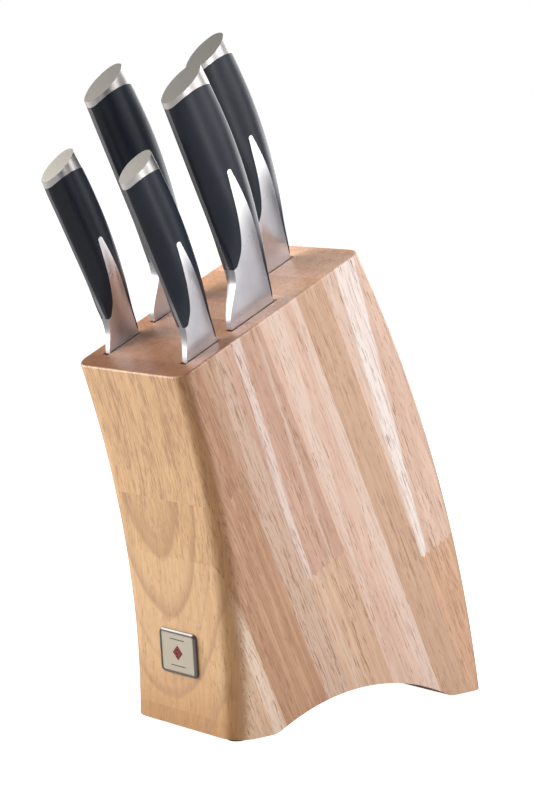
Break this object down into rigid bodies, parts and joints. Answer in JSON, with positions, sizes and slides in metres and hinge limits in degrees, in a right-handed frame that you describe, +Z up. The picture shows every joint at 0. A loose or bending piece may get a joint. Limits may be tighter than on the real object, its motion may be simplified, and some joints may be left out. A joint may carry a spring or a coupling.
{
  "type": "knife block with knives",
  "caption": "Slanted hardwood block that holds full-tang kitchen knives upright in slots, each one lifting out along its slot.",
  "frame": {"origin": "on the table, midway across the width and midway between the foremost butt cap and the heel of the block", "axes": "+Z up, +X across the block's width, the narrow front face looks towards -Y"},
  "size_m": [0.09, 0.251, 0.3706],
  "materials": {
    "block_wood": "clear satin lacquer over glued hardwood staves",
    "forged_steel": "satin forged stainless steel",
    "butt_cap_steel": "satin sides, finely ground flat end",
    "handle_scale": "blue-black satin moulded resin",
    "badge_metal": "dark nickel, bevelled rim",
    "badge_enamel": null,
    "foot_rubber": "matte black rubber"
  },
  "bodies": {
    "block": {"back_left_foot": "foot_rubber", "back_right_foot": "foot_rubber", "back_stave_bottom": "block_wood", "back_stave_top": "block_wood", "badge_enamel": "badge_enamel", "badge_frame": "badge_metal", "fifth_stave": "block_wood", "fourth_stave": "block_wood", "front_left_foot": "foot_rubber", "front_lower_stave": "block_wood", "front_right_foot": "foot_rubber", "front_upper_stave_bottom": "block_wood", "front_upper_stave_top": "block_wood", "second_stave": "block_wood", "third_stave_bottom": "block_wood", "third_stave_top": "block_wood", "toe_stave": "block_wood"},
    "paring_knife": {"paring_knife_blade": "forged_steel", "paring_knife_butt_cap": "butt_cap_steel", "paring_knife_left_scale": "handle_scale", "paring_knife_right_scale": "handle_scale"},
    "carving_knife": {"carving_knife_blade": "forged_steel", "carving_knife_butt_cap": "butt_cap_steel", "carving_knife_left_scale": "handle_scale", "carving_knife_right_scale": "handle_scale"},
    "utility_knife": {"utility_knife_blade": "forged_steel", "utility_knife_butt_cap": "butt_cap_steel", "utility_knife_left_scale": "handle_scale", "utility_knife_right_scale": "handle_scale"},
    "bread_knife": {"bread_knife_blade": "forged_steel", "bread_knife_butt_cap": "butt_cap_steel", "bread_knife_left_scale": "handle_scale", "bread_knife_right_scale": "handle_scale"},
    "chefs_knife": {"chefs_knife_blade": "forged_steel", "chefs_knife_butt_cap": "butt_cap_steel", "chefs_knife_left_scale": "handle_scale", "chefs_knife_right_scale": "handle_scale"}
  },
  "joints": [
    {"name": "paring_knife_slide", "type": "slide", "parent": "block", "child": "paring_knife", "axis": [0, -0.4337, 0.9011], "range_m": [0, 0.105]},
    {"name": "carving_knife_slide", "type": "slide", "parent": "block", "child": "carving_knife", "axis": [0, -0.4337, 0.9011], "range_m": [0, 0.213]},
    {"name": "utility_knife_slide", "type": "slide", "parent": "block", "child": "utility_knife", "axis": [0, -0.4337, 0.9011], "range_m": [0, 0.138]},
    {"name": "bread_knife_slide", "type": "slide", "parent": "block", "child": "bread_knife", "axis": [0, -0.4337, 0.9011], "range_m": [0, 0.213]},
    {"name": "chefs_knife_slide", "type": "slide", "parent": "block", "child": "chefs_knife", "axis": [0, -0.4337, 0.9011], "range_m": [0, 0.208]}
  ]
}
